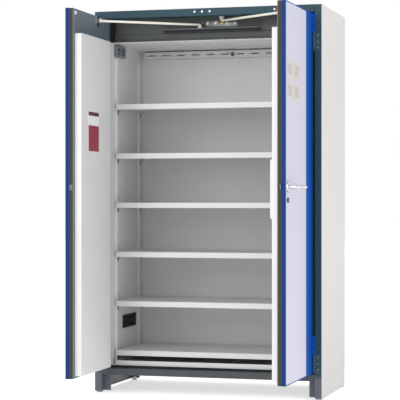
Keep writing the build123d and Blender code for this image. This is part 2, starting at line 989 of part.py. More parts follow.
with BuildPart() as latch_bolt:
    block(leaf_plane, (bolt_start, leaf_end + bolt_throw), bolt_span, bolt_z)
    nose = latch_bolt.edges().filter_by(Axis.Z).sort_by_distance(
        leaf_plane.from_local_coords((leaf_end + bolt_throw, bolt_span[1], handle_z))
    )[0]
    chamfer(nose, bolt_throw * 0.8)
save("latch_bolt", mirrored(latch_bolt.part))
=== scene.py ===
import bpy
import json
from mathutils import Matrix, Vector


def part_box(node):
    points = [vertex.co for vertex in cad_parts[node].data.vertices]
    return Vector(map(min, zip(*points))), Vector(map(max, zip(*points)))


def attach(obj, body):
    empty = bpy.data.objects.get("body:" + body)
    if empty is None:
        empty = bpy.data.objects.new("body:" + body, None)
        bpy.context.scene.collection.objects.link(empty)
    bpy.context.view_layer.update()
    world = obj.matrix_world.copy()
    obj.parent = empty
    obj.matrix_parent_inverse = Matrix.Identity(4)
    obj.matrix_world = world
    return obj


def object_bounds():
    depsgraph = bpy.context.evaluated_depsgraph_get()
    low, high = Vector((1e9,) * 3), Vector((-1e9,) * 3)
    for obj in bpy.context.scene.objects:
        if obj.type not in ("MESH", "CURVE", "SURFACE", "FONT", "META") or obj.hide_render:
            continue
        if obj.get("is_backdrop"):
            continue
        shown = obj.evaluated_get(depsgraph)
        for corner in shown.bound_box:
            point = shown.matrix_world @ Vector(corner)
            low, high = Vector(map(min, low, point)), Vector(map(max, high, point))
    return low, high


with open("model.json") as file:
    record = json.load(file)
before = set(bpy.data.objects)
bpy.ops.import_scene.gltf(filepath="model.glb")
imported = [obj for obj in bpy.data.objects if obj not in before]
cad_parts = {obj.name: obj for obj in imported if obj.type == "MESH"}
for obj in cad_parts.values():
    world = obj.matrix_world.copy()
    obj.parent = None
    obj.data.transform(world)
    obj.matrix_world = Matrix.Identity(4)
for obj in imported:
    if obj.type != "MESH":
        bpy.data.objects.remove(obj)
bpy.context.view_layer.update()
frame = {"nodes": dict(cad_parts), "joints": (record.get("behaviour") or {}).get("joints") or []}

import json
from math import cos, pi, radians, sin

import bmesh
import bpy
from bpy.props import FloatProperty, FloatVectorProperty, IntProperty, PointerProperty
from bpy.types import Operator, Panel, PropertyGroup
from mathutils import Matrix, Vector

bl_info = {
    "name": "Battery Cabinet",
    "version": (1, 0, 0),
    "blender": (4, 5, 0),
    "location": "View3D > Sidebar > Cabinet",
    "description": "Dresses a two-door battery cabinet and sets it on a plain stage",
    "category": "Object",
}

JOINTS = {joint["name"]: joint for joint in frame["joints"]}
CABINET = "cabinet"

SHEET = 0.0015  # thickness of the body's and the leaves' sheets
HINGE_PLATE = 0.0025  # thickness of a hinge's plates


# ---- Measures read from the frame ----


def leaf_place(side):
    """Matrix from a leaf's own axes (along, inwards, up) to its place when it stands open."""
    hinge = JOINTS[f"{side}_door_hinge"]
    hand = 1 if side == "left" else -1
    lean = radians(90 - hinge["range_deg"][1])
    along = Vector((hand * sin(lean), -cos(lean), 0))
    inwards = Vector((hand * cos(lean), sin(lean), 0))
    up = Vector((0, 0, 1))
    turn = Matrix((along, inwards, up)).transposed().to_4x4()
    x, y, _ = hinge["pos_m"]
    return Matrix.Translation((x, y, 0)) @ turn


def leaf_span(side, node):
    """Lowest and highest corner of a node in its leaf's own axes."""
    back = leaf_place(side).inverted()
    points = [back @ vertex.co for vertex in frame["nodes"][node].data.vertices]
    low = Vector([min(p[i] for p in points) for i in range(3)])
    high = Vector([max(p[i] for p in points) for i in range(3)])
    return low, high


def facing(place, direction, across=(0, 0, 1)):
    """A place whose Z axis looks along a direction and whose Y axis leans to another."""
    z = Vector(direction).normalized()
    x = Vector(across).cross(z).normalized()
    y = z.cross(x)
    turn = Matrix((x, y, z)).transposed().to_4x4()
    return Matrix.Translation(place) @ turn


# ---- Shader building ----


def linear(colour):
    """A colour picked on screen, as the light it stands for."""
    return tuple(
        c / 12.92 if c <= 0.04045 else ((c + 0.055) / 1.055) ** 2.4 for c in colour[:3]
    ) + (1.0,)


class Value:
    """A shader socket that takes part in Python arithmetic."""

    def __init__(self, shading, socket):
        self.shading = shading
        self.socket = socket

    def _maths(self, operation, first, second):
        return self.shading.node("ShaderNodeMath", {"operation": operation}, {0: first, 1: second})

    def __add__(self, other):
        return self._maths("ADD", self, other)

    __radd__ = __add__

    def __sub__(self, other):
        return self._maths("SUBTRACT", self, other)

    def __rsub__(self, other):
        return self._maths("SUBTRACT", other, self)

    def __mul__(self, other):
        return self._maths("MULTIPLY", self, other)

    __rmul__ = __mul__

    def __gt__(self, other):
        return self._maths("GREATER_THAN", self, other)


class Shading:
    """A node tree, built node by node."""

    def __init__(self, tree):
        self.tree = tree

    def node(self, kind, settings=None, inputs=None, output=0):
        """Adds a node: its settings first, then the values or links of its sockets."""
        made = self.tree.nodes.new(kind)
        for key, value in (settings or {}).items():
            setattr(made, key, value)
        for key, value in (inputs or {}).items():
            self.feed(made.inputs[key], value)
        return Value(self, made.outputs[output])

    def feed(self, socket, value):
        """Links a value to a socket, or sets the socket to it."""
        if isinstance(value, Value):
            self.tree.links.new(value.socket, socket)
        else:
            socket.default_value = value


class Finish(Shading):
    """One material with a Principled shader."""

    def __init__(self, name, roughness=0.5, metallic=0.0, specular=0.5):
        self.material = bpy.data.materials.new(name)
        self.material.use_nodes = True
        super().__init__(self.material.node_tree)
        self.shader = self.tree.nodes["Principled BSDF"]
        self.output(Roughness=roughness, Metallic=metallic, Specular_IOR_Level=specular)
        self.coords = self.node("ShaderNodeTexCoord", output="Object")

    def output(self, **values):
        """Feeds the material's own shader."""
        for key, value in values.items():
            self.feed(self.shader.inputs[key.replace("_", " ")], value)

    def noise(self, scale, detail=2.0, stretch=(1, 1, 1), roughness=0.5):
        """Noise from 0 to 1 in the object's own metres, stretched along an axis."""
        placed = self.node(
            "ShaderNodeMapping", {"vector_type": "POINT"}, {"Vector": self.coords, "Scale": stretch}
        )
        return self.node(
            "ShaderNodeTexNoise",
            inputs={"Vector": placed, "Scale": scale, "Detail": detail, "Roughness": roughness},
        )

    def cells(self, scale):
        """A value from 0 to 1 for each cell of a random mosaic."""
        mosaic = self.node(
            "ShaderNodeTexVoronoi", inputs={"Vector": self.coords, "Scale": scale}, output="Color"
        )
        return self.node("ShaderNodeSeparateXYZ", inputs={"Vector": mosaic})

    def axis(self, letter):
        """The place along the frame's X, Y or Z axis, in metres."""
        return self.node("ShaderNodeSeparateXYZ", inputs={"Vector": self.coords}, output=letter)

    def off_middle(self):
        """The distance from the cabinet's middle plane, in metres."""
        return self.node("ShaderNodeMath", {"operation": "ABSOLUTE"}, {0: self.axis("X")})

    def ramp(self, value, low, high):
        """0 below low, 1 above high, and smooth between."""
        return self.node(
            "ShaderNodeMapRange",
            {"interpolation_type": "SMOOTHSTEP"},
            {"Value": value, "From Min": low, "From Max": high},
        )

    def mix(self, factor, first, second):
        """Mixes two colours."""
        return self.node(
            "ShaderNodeMix",
            {"data_type": "RGBA"},
            {0: factor, 6: first, 7: second},
            output=2,
        )

    def bump(self, value, strength, distance):
        """A normal bent by a height."""
        return self.node(
            "ShaderNodeBump",
            inputs={"Height": value, "Strength": strength, "Distance": distance},
        )


def shade(colour, share):
    """The same colour, lighter or darker."""
    return tuple(min(1.0, c * share) for c in colour[:3]) + (1.0,)


def powder_coat(name, colour, roughness=0.42, peel=0.10, dust=0.0, specular=0.5, extra=None):
    """Baked powder coat: a fine orange-peel skin, faint clouding and rub marks."""
    made = Finish(name, roughness, specular=specular)
    body = linear(colour)
    cloud = made.noise(2.6, 3.0)
    rubbed = made.noise(9.0, 4.0, (1, 1, 0.22))
    skin = made.noise(520.0, 2.0)
    tone = made.mix(cloud, shade(body, 0.94), shade(body, 1.05))
    tone = made.mix(made.ramp(rubbed, 0.60, 0.78) * 0.10, tone, shade(body, 0.80))
    speck = made.ramp(made.noise(1400.0, 1.0), 0.70, 0.78)
    tone = made.mix(speck * 0.10, tone, shade(body, 0.72))
    if dust:
        low = 1 - made.ramp(made.axis("Z") + made.noise(7.0, 3.0) * 0.25, 0.10, 0.95)
        tone = made.mix(low * dust, tone, linear((0.66, 0.63, 0.60)))
    if extra:
        tone = extra(made, tone)
    made.output(
        Base_Color=tone,
        Roughness=roughness - 0.06 + rubbed * 0.10 + cloud * 0.04,
        Normal=made.bump(skin, peel, 0.0002),
    )
    return made.material


def spangled_zinc(name, colour, roughness=0.34):
    """Hot-dip galvanised sheet with crystals of its own size."""
    made = Finish(name, roughness, 1.0)
    body = linear(colour)
    crystal = made.cells(130.0)
    cloud = made.noise(6.0, 3.0)
    made.output(
        Base_Color=made.mix(crystal * 0.7 + cloud * 0.3, shade(body, 0.78), shade(body, 1.12)),
        Roughness=roughness - 0.07 + crystal * 0.14 + cloud * 0.06,
        Normal=made.bump(crystal, 0.05, 0.0002),
    )
    return made.material


def drawn_steel(name, colour, roughness=0.28, grain=(1, 1, 0.04)):
    """Plated or satin steel with fine lines left by working it."""
    made = Finish(name, roughness, 1.0)
    body = linear(colour)
    lines = made.noise(900.0, 3.0, grain)
    touch = made.noise(24.0, 4.0)
    made.output(
        Base_Color=made.mix(lines * 0.6 + touch * 0.4, shade(body, 0.82), shade(body, 1.08)),
        Roughness=roughness - 0.06 + lines * 0.10 + made.ramp(touch, 0.5, 0.75) * 0.10,
        Normal=made.bump(lines, 0.06, 0.0001),
    )
    return made.material


def moulded_plastic(name, colour, roughness=0.45, grain=700.0):
    """Moulded plastic with a fine spark-eroded grain."""
    made = Finish(name, roughness)
    body = linear(colour)
    skin = made.noise(grain, 3.0)
    cloud = made.noise(12.0, 2.0)
    made.output(
        Base_Color=made.mix(cloud, shade(body, 0.90), shade(body, 1.10)),
        Roughness=roughness - 0.05 + skin * 0.10,
        Normal=made.bump(skin, 0.18, 0.0002),
    )
    return made.material


def soft_rubber(name, colour):
    """Extruded rubber: dull, with faint lines along its length and a bloom of dust."""
    made = Finish(name, 0.72)
    body = linear(colour)
    lines = made.noise(600.0, 2.0, (1, 1, 0.02))
    bloom = made.noise(18.0, 4.0)
    made.output(
        Base_Color=made.mix(made.ramp(bloom, 0.45, 0.75) * 0.35, body, linear((0.22, 0.22, 0.22))),
        Roughness=0.66 + bloom * 0.12,
        Normal=made.bump(lines, 0.15, 0.0002),
    )
    return made.material


def mineral_board(name, colour):
    """Pressed mineral board: matt, speckled, with short fibres lying in it."""
    made = Finish(name, 0.85)
    body = linear(colour)
    fibre = made.noise(160.0, 5.0, (1, 1, 0.3))
    speck = made.ramp(made.noise(420.0, 2.0), 0.60, 0.72)
    tone = made.mix(fibre, shade(body, 0.85), shade(body, 1.15))
    made.output(
        Base_Color=made.mix(speck * 0.3, tone, shade(body, 0.6)),
        Roughness=0.80 + fibre * 0.12,
        Normal=made.bump(fibre, 0.3, 0.0006),
    )
    return made.material


def swelling_strip(name, colour):
    """Swelling fire strip: a matt brown laminate with a pressed weave."""
    made = Finish(name, 0.7)
    body = linear(colour)
    weave = made.noise(380.0, 2.0, (1, 1, 0.5))
    stain = made.noise(11.0, 3.0)
    made.output(
        Base_Color=made.mix(weave * 0.5 + stain * 0.5, shade(body, 0.78), shade(body, 1.25)),
        Roughness=0.62 + weave * 0.14,
        Normal=made.bump(weave, 0.25, 0.0003),
    )
    return made.material


def printed_film(name, colour):
    """Printed film on a plate: even, half glossy, with a faint ripple."""
    made = Finish(name, 0.32)
    body = linear(colour)
    ripple = made.noise(30.0, 2.0)
    made.output(
        Base_Color=made.mix(ripple, shade(body, 0.96), shade(body, 1.03)),
        Roughness=0.28 + ripple * 0.10,
        Normal=made.bump(ripple, 0.05, 0.0003),
    )
    return made.material


# ---- Mesh building ----


def piece(name, shape, body, material, smooth=True):
    """Turns a finished bmesh into an object that rides on one of the cabinet's bodies."""
    bmesh.ops.remove_doubles(shape, verts=shape.verts, dist=1e-6)
    bmesh.ops.recalc_face_normals(shape, faces=shape.faces)
    mesh = bpy.data.meshes.new(name)
    shape.to_mesh(mesh)
    shape.free()
    if smooth:
        mesh.shade_smooth()
        mesh.set_sharp_from_angle(angle=radians(35))
    mesh.materials.append(material)
    made = bpy.data.objects.new(name, mesh)
    bpy.context.scene.collection.objects.link(made)
    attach(made, body)
    return made


def turned(shape, profile, place, steps=24):
    """Spins a profile of (radius, height) points about the place's Z axis, as a closed form."""
    first, last = profile[0], profile[-1]
    if first[0] > 0:
        profile = profile + [first]
    elif last[0] > 0:
        profile = profile + [(0, last[1])]
    before = set(shape.verts)
    verts = [shape.verts.new((r, 0, z)) for r, z in profile]
    edges = [shape.edges.new(pair) for pair in zip(verts, verts[1:])]
    bmesh.ops.spin(
        shape,
        geom=verts + edges,
        cent=(0, 0, 0),
        axis=(0, 0, 1),
        angle=2 * pi,
        steps=steps,
        use_merge=True,
    )
    fresh = [vert for vert in shape.verts if vert not in before]
    bmesh.ops.transform(shape, matrix=place, verts=fresh)


def slab(shape, size, place, rounding=0.0, segments=2):
    """A block of a given size with rounded edges, centred on its place."""
    made = bmesh.ops.create_cube(shape, size=1.0)
    verts = made["verts"]
    bmesh.ops.scale(shape, vec=size, verts=verts)
    if rounding:
        edges = list({e for v in verts for e in v.link_edges})
        got = bmesh.ops.bevel(
            shape,
            geom=edges,
            offset=rounding,
            offset_type="OFFSET",
            affect="EDGES",
            segments=segments,
            profile=0.5,
            material=-1,
        )
        verts = list({v for v in verts if v.is_valid} | set(got["verts"]))
    bmesh.ops.transform(shape, matrix=place, verts=verts)


def screw(shape, place, radius, sunk=False):
    """A screw head with a round socket: domed, or level with its plate."""
    if sunk:
        rise = radius * 0.12
        profile = [(0, -radius * 0.1), (radius * 0.42, -radius * 0.1), (radius * 0.46, rise)]
        profile += [(radius * 0.94, rise), (radius, 0), (radius, -radius * 0.2)]
    else:
        rise = radius * 0.75
        profile = [(0, rise * 0.25), (radius * 0.42, rise * 0.25), (radius * 0.46, rise)]
        profile += [(radius * 0.7, rise * 0.95), (radius * 0.93, rise * 0.55), (radius, 0)]
    turned(shape, profile, place, 16)


def hex_bolt(shape, place, radius, height):
    """A hexagon head on a washer."""
    washer = [(0, 0), (radius * 1.5, 0), (radius * 1.5, height * 0.25), (0, height * 0.25)]
    turned(shape, washer, place, 20)
    made = bmesh.ops.create_cone(
        shape, cap_ends=True, segments=6, radius1=radius, radius2=radius, depth=height
    )
    verts = made["verts"]
    edges = {edge for vert in verts for edge in vert.link_edges}
    top = [edge for edge in edges if min(vert.co.z for vert in edge.verts) > 0]
    got = bmesh.ops.bevel(
        shape, geom=top, offset=height * 0.12, offset_type="OFFSET", affect="EDGES", segments=1,
        profile=0.5, material=-1,
    )
    verts = list({v for v in verts if v.is_valid} | set(got["verts"]))
    lift = Matrix.Translation((0, 0, height * 0.75))
    bmesh.ops.transform(shape, matrix=place @ lift, verts=verts)


def wire(points, radius):
    """A round wire along a smooth line, as a bmesh."""
    line = bpy.data.curves.new("wire_line", "CURVE")
    line.dimensions = "3D"
    line.bevel_depth = radius
    line.bevel_resolution = 2
    line.use_fill_caps = True
    spline = line.splines.new("NURBS")
    spline.points.add(len(points) - 1)
    for point, place in zip(spline.points, points):
        point.co = (*place, 1)
    spline.order_u = 3
    spline.use_endpoint_u = True
    carrier = bpy.data.objects.new("wire_line", line)
    mesh = bpy.data.meshes.new_from_object(carrier)
    shape = bmesh.new()
    shape.from_mesh(mesh)
    bpy.data.objects.remove(carrier)
    bpy.data.curves.remove(line)
    bpy.data.meshes.remove(mesh)
    return shape


# ---- Settings a user may change ----


def colour_of(name, description, default):
    """A colour setting, as it looks on screen."""
    return FloatVectorProperty(
        name=name, description=description, default=default, subtype="COLOR_GAMMA", min=0, max=1
    )


class CabinetColours(PropertyGroup):
    """The colours of the cabinet's coats."""

    panel: colour_of("Side panels", "Powder coat of the outer panels", (0.83, 0.826, 0.824))
    frame: colour_of("Front frame", "Anthracite coat of the front frame", (0.15, 0.27, 0.32))
    leg: colour_of("Legs and rail", "Grey coat of the plinth rail", (0.195, 0.23, 0.248))
    # Painted light: this colour is the white floor's reflection on the foot of the front frame,
    # painted into its coat.
    floor_reflection: colour_of("Front feet", "Worn grey of the front frame's feet", (0.36, 0.39, 0.415))
    # Painted shade: this dark colour stands for the shade on the side panels' inner faces under the
    # cabinet.
    underside_shade: colour_of("Primer", "Dark primer inside the side panels", (0.22, 0.235, 0.25))
    blue: colour_of("Door blue", "Blue coat of the door skins", (0.012, 0.295, 0.65))
    # Painted shade: this darker blue stands for the shade on the leaves' leading edges; the skin's
    # coat is one blue.
    edge: colour_of("Door edge", "Duller blue of the leaves' leading edges", (0.085, 0.235, 0.45))
    pale: colour_of("Door front", "Pale coat of the plates on the doors", (0.785, 0.78, 0.85))
    inner: colour_of("Door inside", "Light grey coat of the door's raised pan", (0.905, 0.902, 0.90))
    strip: colour_of("Inner skin", "Dark blue-grey coat of the inner skins", (0.385, 0.425, 0.47))
    liner: colour_of("Liner", "Pale grey coat of the lining sheets", (0.90, 0.90, 0.902))
    shelf: colour_of("Shelves", "Light grey coat of the shelves", (0.875, 0.875, 0.875))
    head: colour_of("Head compartment", "Dark coat behind the header", (0.32, 0.335, 0.34))
    rod: colour_of("Closing rods", "Creamy white coat of the rods", (0.93, 0.92, 0.87))
    red: colour_of("Notice red", "Red field of the plain notice plate", (0.60, 0.14, 0.26))
    cream: colour_of("Notice cream", "Cream film of the plain door plates", (0.80, 0.765, 0.755))


class CabinetTrim(PropertyGroup):
    """The sizes of the small fittings."""

    hinge_screw: FloatProperty(
        name="Hinge screw", description="Radius of a hinge screw", default=0.0048, unit="LENGTH"
    )
    header_screw: FloatProperty(
        name="Header screw", description="Radius of a header screw", default=0.0075, unit="LENGTH"
    )
    gear_bolt: FloatProperty(
        name="Gear bolt", description="Radius of a closing gear bolt", default=0.0055, unit="LENGTH"
    )
    buffer: FloatProperty(
        name="Buffer", description="Radius of a door's white buffer", default=0.009, unit="LENGTH"
    )
    spring_turns: IntProperty(
        name="Spring turns", description="Turns of the closing spring", default=16, min=3, max=60
    )


class CabinetStage(PropertyGroup):
    """The camera and the lamps."""

    lens: FloatProperty(name="Lens", description="Focal length in mm", default=139.8)
    distance: FloatProperty(
        name="Distance", description="How far in front the camera stands", default=7.571,
        unit="LENGTH",
    )
    aside: FloatProperty(
        name="Aside", description="How far to the right the camera stands", default=2.153,
        unit="LENGTH",
    )
    eye: FloatProperty(
        name="Eye height", description="Height of the camera", default=0.994, unit="LENGTH"
    )
    turn: FloatProperty(
        name="Turn", description="How far the camera turns to its left", default=radians(16.09),
        subtype="ANGLE",
    )
    key: FloatProperty(
        name="Key", description="Power of the large front lamp in watts", default=85.0
    )
    fill: FloatProperty(name="Fill", description="Power of the side lamp in watts", default=26.0)
    sky: FloatProperty(name="Sky", description="Strength of the even light", default=0.685)


# ---- Operators ----


def coat(material, *names):
    """Gives frame nodes one material."""
    for name in names:
        slots = frame["nodes"][name].material_slots
        if not slots:
            frame["nodes"][name].data.materials.append(material)
        for slot in slots:
            slot.material = material


class CABINET_OT_coat_body(Operator):
    """Coats the outer panels, the front frame and the plinth"""

    bl_idname = "cabinet.coat_body"
    bl_label = "Coat Body"

    def execute(self, context):
        colours = context.scene.cabinet_colours
        coat(powder_coat("panel_coat", colours.panel, 0.40, dust=0.35), "rear_panel", "roof_panel")
        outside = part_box("side_panel_right")[1].x - SHEET / 2
        underside_shade = linear(colours.underside_shade)

        # Painted shade: the side panels' inner faces take the dark colour of the shade under the
        # cabinet.
        def painted_underside_shade(made, tone):
            return made.mix(made.off_middle() > outside, underside_shade, tone)

        side = powder_coat("side_coat", colours.panel, 0.40, dust=0.35, extra=painted_underside_shade)
        coat(side, "side_panel_left", "side_panel_right")
        rail_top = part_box("plinth_rail")[1].z
        floor_reflection = linear(colours.floor_reflection)

        # Painted reflection: the front frame turns lighter towards the floor, as if lit by the floor
        # below it.
        def painted_floor_reflection(made, tone):
            return made.mix(made.ramp(made.axis("Z"), rail_top * 0.75, rail_top), floor_reflection, tone)

        frame_coat = powder_coat(
            "frame_coat", colours.frame, 0.46, 0.22, specular=0.3, extra=painted_floor_reflection
        )
        coat(frame_coat, "frame_jamb_left", "frame_jamb_right", "frame_header")
        leg_coat = powder_coat("leg_coat", colours.leg, 0.5, 0.2, dust=0.05)
        coat(leg_coat, "plinth_rail", "rear_legs", "base_plate")
        coat(drawn_steel("foot_zinc", (0.62, 0.63, 0.64)), "levelling_feet")
        coat(spangled_zinc("spigot_zinc", (0.74, 0.75, 0.76)), "roof_spigots")
        return {"FINISHED"}


class CABINET_OT_coat_inside(Operator):
    """Coats the lining, shelves, standards and vents"""

    bl_idname = "cabinet.coat_inside"
    bl_label = "Coat Inside"

    def execute(self, context):
        colours = context.scene.cabinet_colours
        liner = powder_coat("liner_coat", colours.liner, 0.45)
        coat(liner, "liner_left", "liner_right", "liner_rear", "liner_ceiling", "liner_floor")
        coat(powder_coat("duct_coat", shade(colours.liner, 0.95), 0.4), "exhaust_duct")
        named = [name for name in frame["nodes"] if name.startswith("shelf_")]
        tiers = [name for name in named if name[-1].isdigit()]
        shelf = powder_coat("shelf_coat", colours.shelf, 0.38)
        coat(shelf, "base_shelf", "spill_tray", *tiers)
        coat(powder_coat("standard_coat", colours.liner, 0.4), "shelf_standards")
        coat(drawn_steel("clip_zinc", (0.66, 0.67, 0.68)), "shelf_clips")
        board = mineral_board("dark_board", (0.13, 0.135, 0.145))
        boards = [name for name in frame["nodes"] if name.startswith("fire_board")]
        coat(board, *boards)
        coat(moulded_plastic("grille_plastic", (0.045, 0.045, 0.05), 0.5), "vent_grille")
        coat(powder_coat("valve_coat", (0.46, 0.485, 0.51), 0.35, 0.2), "vent_valve")
        coat(soft_rubber("seal_rubber", (0.06, 0.06, 0.065)), "frame_seals")
        head = powder_coat("head_coat", colours.head, 0.5, 0.2)
        coat(head, "head_back_plate", "guide_channel")
        return {"FINISHED"}


class CABINET_OT_coat_doors(Operator):
    """Coats both leaves, their hinges, rods and lock"""

    bl_idname = "cabinet.coat_doors"
    bl_label = "Coat Doors"

    def execute(self, context):
        colours = context.scene.cabinet_colours
        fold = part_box("left_door_skin")[0].y + SHEET
        dull = linear(colours.edge)

        # Painted shade: the leading edge of each leaf is painted a darker blue for the shade that
        # falls on that face.
        def painted_edge_shade(made, tone):
            return made.mix(made.ramp(made.axis("Y"), fold, fold + SHEET), dull, tone)

        blue = powder_coat(
            "door_blue_coat", colours.blue, 0.36, 0.12, specular=0.06, extra=painted_edge_shade
        )
        finishes = {
            "door_skin": blue,
            "front_panel": powder_coat("door_pale_coat", colours.pale, 0.40),
            "inner_skin": powder_coat("inner_skin_coat", colours.strip, 0.42, 0.18),
            "inner_box": powder_coat("inner_box_coat", colours.inner, 0.42),
            "edge_strip": swelling_strip("fire_strip", (0.205, 0.17, 0.175)),
            "door_core": mineral_board("core_board", (0.60, 0.60, 0.585)),
            "closing_rod": powder_coat("rod_coat", colours.rod, 0.3, 0.05),
            "rod_bracket": drawn_steel("bracket_zinc", (0.72, 0.72, 0.73)),
        }
        for side in ("left", "right"):
            for name, material in finishes.items():
                coat(material, f"{side}_{name}")
            coat(finishes["door_skin"], f"{side}_hinge_halves")
        coat(powder_coat("hinge_coat", colours.frame, 0.35, 0.12), "hinge_frame_halves")
        coat(powder_coat("cover_coat", shade(colours.inner, 0.97), 0.42), "lock_cover")
        coat(moulded_plastic("rosette_plastic", (0.07, 0.07, 0.08), 0.35), "handle_rosette")
        coat(drawn_steel("lever_satin", (0.82, 0.82, 0.83), 0.24, (1, 0.04, 1)), "handle_lever")
        coat(drawn_steel("bolt_steel", (0.42, 0.42, 0.43), 0.35), "latch_bolt")
        return {"FINISHED"}


class CABINET_OT_hinge_screws(Operator):
    """Sets countersunk screws in every hinge plate"""

    bl_idname = "cabinet.hinge_screws"
    bl_label = "Hinge Screws"

    def execute(self, context):
        radius = context.scene.cabinet_trim.hinge_screw
        steel = drawn_steel("screw_zinc", (0.60, 0.61, 0.62), 0.3)
        fixed = bmesh.new()
        for side in ("left", "right"):
            place = leaf_place(side)
            hinge = JOINTS[f"{side}_door_hinge"]["pos_m"]
            low, high = leaf_span(side, f"{side}_hinge_halves")
            tall = low.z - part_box("hinge_frame_halves")[0].z
            plate_front = leaf_span(side, f"{side}_door_skin")[0].y - HINGE_PLATE
            across = high.x * 0.62
            x = hinge[0] + (across if side == "right" else -across)
            outward = place.to_3x3() @ Vector((0, -1, 0))
            moving = bmesh.new()
            for top in (low.z + tall, high.z):
                for share in (0.18, 0.5, 0.82):
                    spot = place @ Vector((across, plate_front, top - tall * share))
                    screw(moving, facing(spot, outward), radius, sunk=True)
                    spot = Vector((x, -HINGE_PLATE, top - tall * (1 + share)))
                    screw(fixed, facing(spot, (0, -1, 0)), radius, sunk=True)
            piece(f"{side}_hinge_screws", moving, f"{side}_door", steel)
        piece("frame_hinge_screws", fixed, CABINET, steel)
        return {"FINISHED"}


class CABINET_OT_header_screws(Operator):
    """Sets the pan-head screws and the white cap in the header"""

    bl_idname = "cabinet.header_screws"
    bl_label = "Header Screws"

    def execute(self, context):
        radius = context.scene.cabinet_trim.header_screw
        low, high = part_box("frame_header")
        level = low.z + (high.z - low.z) * 0.55
        middle_screw, pitch, cap_side = -0.020, 0.040, 0.357
        heads = bmesh.new()
        for step in (-1, 0, 1):
            spot = (middle_screw + step * pitch, low.y, level)
            screw(heads, facing(spot, (0, -1, 0)), radius)
        steel = drawn_steel("header_screw_zinc", (0.80, 0.81, 0.82), 0.25)
        piece("header_screws", heads, CABINET, steel)
        cap = bmesh.new()
        dome = [(0, 0.003), (0.003, 0.0028), (0.0055, 0.0015), (0.006, 0)]
        turned(cap, dome, facing((cap_side, low.y, level), (0, -1, 0)))
        white = moulded_plastic("cap_plastic", (0.92, 0.92, 0.90), 0.3)
        piece("header_cap", cap, CABINET, white)
        return {"FINISHED"}


class CABINET_OT_closing_gear(Operator):
    """Builds the release plate, its bolts, the melting link and the spring in the channel"""

    bl_idname = "cabinet.closing_gear"
    bl_label = "Closing Gear"

    def execute(self, context):
        trim = context.scene.cabinet_trim
        low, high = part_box("guide_channel")
        back = high.y - SHEET
        middle = (low.z + high.z) / 2
        centre, thick = 0.050, 0.004
        front = back - thick
        zinc = drawn_steel("gear_zinc", (0.52, 0.53, 0.54), 0.42, (0.04, 1, 1))
        plate = bmesh.new()
        spot = Matrix.Translation((centre, back - thick / 2, middle))
        slab(plate, (0.170, thick, 0.040), spot, 0.0012)
        piece("release_plate", plate, CABINET, zinc)
        bright = drawn_steel("gear_bright", (0.66, 0.67, 0.68), 0.34)
        bolts = bmesh.new()
        for aside in (-0.072, -0.030, 0.030, 0.072):
            spot = facing((centre + aside, front, middle), (0, -1, 0))
            hex_bolt(bolts, spot, trim.gear_bolt, 0.007)
        piece("release_bolts", bolts, CABINET, bright)
        link = bmesh.new()
        link_thick = 0.002
        spot = Matrix.Translation((centre, front - link_thick / 2, middle))
        slab(link, (0.038, link_thick, 0.014), spot, 0.0008)
        for aside in (-0.013, 0.013):
            screw(link, facing((centre + aside, front - link_thick, middle), (0, -1, 0)), 0.004)
        brass = drawn_steel("link_brass", (0.60, 0.52, 0.38), 0.4)
        piece("melting_link", link, CABINET, brass)
        radius, gauge, per_turn = 0.0055, 0.0009, 8
        steps = trim.spring_turns * per_turn
        start, length, hook = -0.240, 0.190, 0.004
        coil = [
            (
                start + length * step / steps,
                back - radius - gauge + radius * cos(step * 2 * pi / per_turn),
                middle + radius * sin(step * 2 * pi / per_turn),
            )
            for step in range(steps + 1)
        ]
        piece("closing_spring", wire(coil, gauge), CABINET, zinc)
        posts = bmesh.new()
        for x in (start - hook, start + length + hook):
            stem = [(0, 0), (0.005, 0), (0.005, 0.013), (0.004, 0.014), (0, 0.014)]
            turned(posts, stem, facing((x, back, middle), (0, -1, 0)), 16)
        piece("spring_posts", posts, CABINET, zinc)
        return {"FINISHED"}


class CABINET_OT_notice_plates(Operator):
    """Lays plain, blank plates on the left leaf's inside and the right leaf's outside"""

    bl_idname = "cabinet.notice_plates"
    bl_label = "Notice Plates"

    def execute(self, context):
        colours = context.scene.cabinet_colours
        place = leaf_place("left")
        face = leaf_span("left", "left_inner_box")[1].y
        film = printed_film("notice_white", (0.99, 0.99, 0.99))
        red = printed_film("notice_red", colours.red)
        dark = printed_film("notice_dark_red", shade(colours.red, 0.6))
        thick, layer = 0.001, 0.0005
        middle, wide, bottom, top, margin = 0.351, 0.162, 1.230, 1.430, 0.003
        inside, low_edge, high_edge = wide - 2 * margin, bottom + margin, top - margin
        bar, block = 0.019, 0.127
        fields = (
            ("notice_base", film, wide, bottom, top, face, thick),
            ("notice_bar", dark, inside, high_edge - bar, high_edge, face + thick, layer),
            ("notice_block", red, inside, low_edge, low_edge + block, face + thick, layer),
        )
        for name, material, length, low, high, start, deep in fields:
            shape = bmesh.new()
            spot = place @ Matrix.Translation((middle, start + deep / 2, (low + high) / 2))
            slab(shape, (length, deep, high - low), spot, deep * 0.3, 1)
            piece(name, shape, "left_door", material, smooth=False)

        place = leaf_place("right")
        face = leaf_span("right", "right_front_panel")[0].y
        cream = printed_film("plate_cream", colours.cream)
        tan = printed_film("plate_tan", shade(colours.cream, 0.9))
        side, tall = 0.116, 0.76
        first_along, first_up, step_along, step_up = 0.345, 1.505, 0.135, 0.101
        for row in range(2):
            for column in range(2):
                along, up = first_along + column * step_along, first_up + row * step_up
                shape = bmesh.new()
                spot = place @ Matrix.Translation((along, face - thick / 2, up))
                slab(shape, (side, thick, side * tall), spot, thick * 0.3, 1)
                name = f"door_plate_{row}_{column}"
                piece(name, shape, "right_door", cream, smooth=False)
                shape = bmesh.new()
                spot = spot @ Matrix.Translation((0, -(thick + layer) / 2, 0))
                slab(shape, (side * 0.7, layer, side * 0.46), spot, layer * 0.3, 1)
                name = f"door_field_{row}_{column}"
                piece(name, shape, "right_door", tan, smooth=False)
        return {"FINISHED"}


